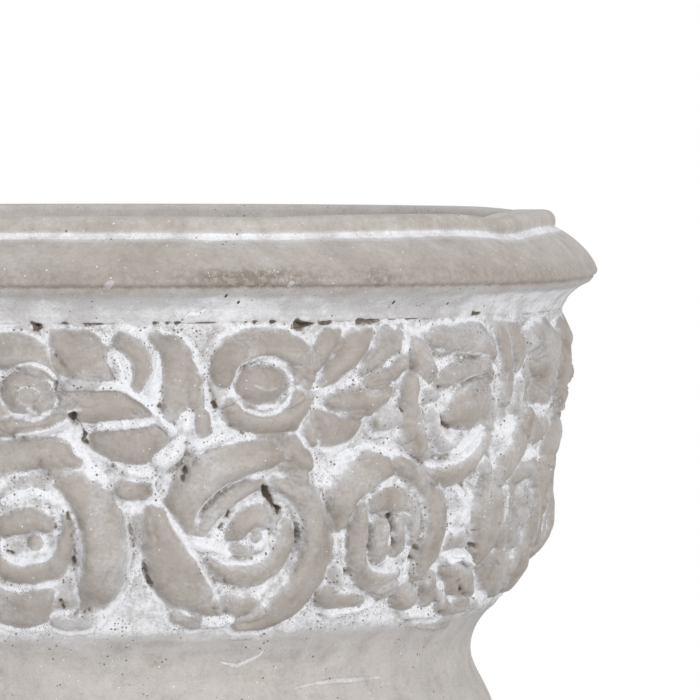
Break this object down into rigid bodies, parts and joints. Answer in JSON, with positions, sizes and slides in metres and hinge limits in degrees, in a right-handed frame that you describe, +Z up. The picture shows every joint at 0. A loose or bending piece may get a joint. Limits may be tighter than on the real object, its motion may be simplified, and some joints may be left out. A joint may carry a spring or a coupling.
{
  "type": "cachepot",
  "caption": "Round cast cement cachepot with a moulded rim, a frieze of roses and leaves in relief, a drawn-in neck and a plain body on a low foot.",
  "frame": {"origin": "centre of the circle through the felt pads, on the table that the pot stands on", "axes": "+Z up along the pot's axis to the mouth, -Y to the front, +X to the right of the front"},
  "size_m": [0.25, 0.25, 0.214],
  "materials": {
    "cement": "matt cast cement, whitewashed in the hollows",
    "felt": "pressed felt"
  },
  "bodies": {
    "root": {"pot": "cement", "felt_pads": "felt", "upper_rose_left_1": "cement", "upper_rose_left_2": "cement", "upper_rose_left_3": "cement", "upper_rose_left_4": "cement", "broad_leaf_1": "cement", "broad_leaf_2": "cement", "broad_leaf_3": "cement", "broad_leaf_4": "cement", "upper_rose_middle_1": "cement", "upper_rose_middle_2": "cement", "upper_rose_middle_3": "cement", "upper_rose_middle_4": "cement", "fan_leaf_1": "cement", "fan_leaf_2": "cement", "fan_leaf_3": "cement", "fan_leaf_4": "cement", "upper_rose_right_1": "cement", "upper_rose_right_2": "cement", "upper_rose_right_3": "cement", "upper_rose_right_4": "cement", "upright_leaf_1": "cement", "upright_leaf_2": "cement", "upright_leaf_3": "cement", "upright_leaf_4": "cement", "upper_rose_side_1": "cement", "upper_rose_side_2": "cement", "upper_rose_side_3": "cement", "upper_rose_side_4": "cement", "lower_rose_left_1": "cement", "lower_rose_left_2": "cement", "lower_rose_left_3": "cement", "lower_rose_left_4": "cement", "lower_rose_middle_1": "cement", "lower_rose_middle_2": "cement", "lower_rose_middle_3": "cement", "lower_rose_middle_4": "cement", "lower_rose_right_1": "cement", "lower_rose_right_2": "cement", "lower_rose_right_3": "cement", "lower_rose_right_4": "cement", "long_leaf_1": "cement", "long_leaf_2": "cement", "long_leaf_3": "cement", "long_leaf_4": "cement", "lower_rose_side_1": "cement", "lower_rose_side_2": "cement", "lower_rose_side_3": "cement", "lower_rose_side_4": "cement", "folded_leaf_1": "cement", "folded_leaf_2": "cement", "folded_leaf_3": "cement", "folded_leaf_4": "cement", "curled_leaf_1": "cement", "curled_leaf_2": "cement", "curled_leaf_3": "cement", "curled_leaf_4": "cement"}
  },
  "joints": []
}
